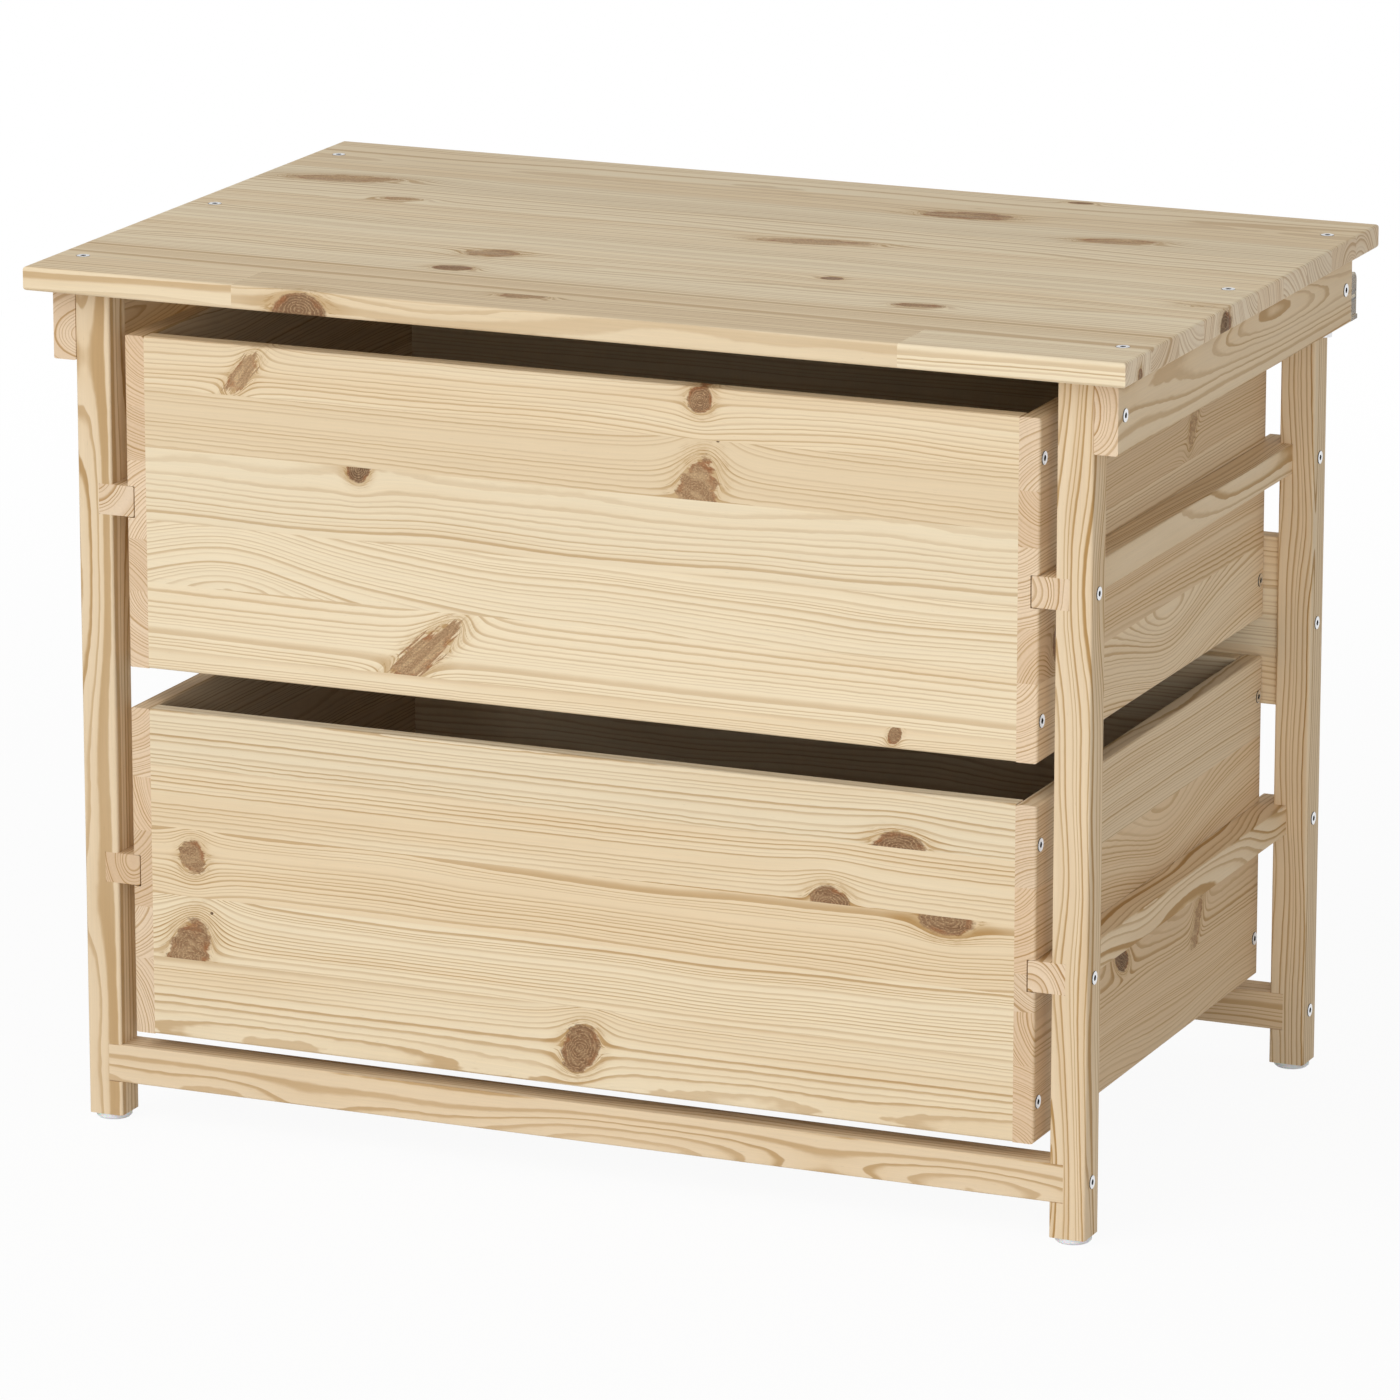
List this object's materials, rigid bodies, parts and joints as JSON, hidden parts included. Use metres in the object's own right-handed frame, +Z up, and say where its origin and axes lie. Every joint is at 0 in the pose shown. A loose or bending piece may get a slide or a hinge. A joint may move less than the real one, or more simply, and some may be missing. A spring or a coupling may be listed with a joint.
{
  "type": "chest of drawers",
  "caption": "Open-framed pine chest: square posts carry wooden runners on which deep drawers slide under an overhanging top.",
  "frame": {"origin": "centre of the overall box, on the floor under the feet", "axes": "+X across the width to the viewer's right, +Y to the back, +Z up"},
  "size_m": [0.862, 0.544, 0.655],
  "materials": {
    "pine": "untreated planed pine",
    "hardboard": "smooth hardboard",
    "zinc": "bright zinc plate",
    "white_plastic": "milky moulded plastic",
    "clear_plastic": "clear moulded plastic"
  },
  "bodies": {
    "frame": {"top_panel": "pine", "front_left_post": "pine", "front_right_post": "pine", "back_left_post": "pine", "back_right_post": "pine", "left_side_rail": "pine", "right_side_rail": "pine", "upper_left_runner": "pine", "upper_right_runner": "pine", "lower_left_runner": "pine", "lower_right_runner": "pine", "front_bottom_rail": "pine", "back_bottom_rail": "pine", "back_board": "pine", "front_left_foot": "white_plastic", "front_right_foot": "white_plastic", "back_left_foot": "white_plastic", "back_right_foot": "white_plastic", "left_wall_anchor": "clear_plastic", "right_wall_anchor": "clear_plastic", "top_screws": "zinc", "side_rail_screws": "zinc", "runner_screws": "zinc", "bottom_rail_screws": "zinc", "back_board_screws": "zinc", "anchor_screws": "zinc", "rail_bolts": "zinc"},
    "upper_drawer": {"upper_drawer_front": "pine", "upper_drawer_back": "pine", "upper_drawer_left_side": "pine", "upper_drawer_right_side": "pine", "upper_drawer_bottom": "hardboard", "upper_drawer_screws": "zinc"},
    "lower_drawer": {"lower_drawer_front": "pine", "lower_drawer_back": "pine", "lower_drawer_left_side": "pine", "lower_drawer_right_side": "pine", "lower_drawer_bottom": "hardboard", "lower_drawer_screws": "zinc"}
  },
  "joints": [
    {"name": "upper_drawer_slide", "type": "slide", "parent": "frame", "child": "upper_drawer", "axis": [0, -1, 0], "range_m": [0, 0.38]},
    {"name": "lower_drawer_slide", "type": "slide", "parent": "frame", "child": "lower_drawer", "axis": [0, -1, 0], "range_m": [0, 0.38]}
  ]
}
